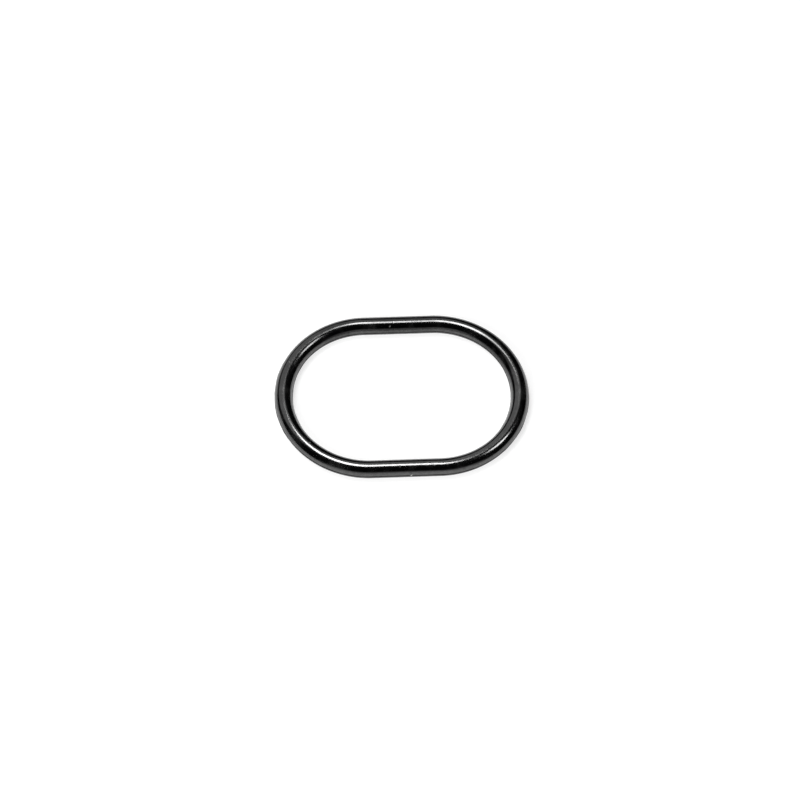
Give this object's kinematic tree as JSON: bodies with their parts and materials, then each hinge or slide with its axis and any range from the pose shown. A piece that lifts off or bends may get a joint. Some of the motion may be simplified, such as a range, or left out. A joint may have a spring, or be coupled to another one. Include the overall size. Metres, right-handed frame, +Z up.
{
  "type": "sealing ring",
  "caption": "Racetrack-shaped rubber sealing ring with a round section, for a face seal in a groove.",
  "frame": {"origin": "centre of the ring's opening, on the plane that the ring's underside touches", "axes": "+X along the ring's length, +Y across it, +Z up through the opening"},
  "size_m": [0.0502, 0.0366, 0.0035],
  "materials": {
    "rubber": "black moulded rubber, smooth and satin to glossy"
  },
  "bodies": {
    "root": {"sealing_ring": "rubber"}
  },
  "joints": []
}
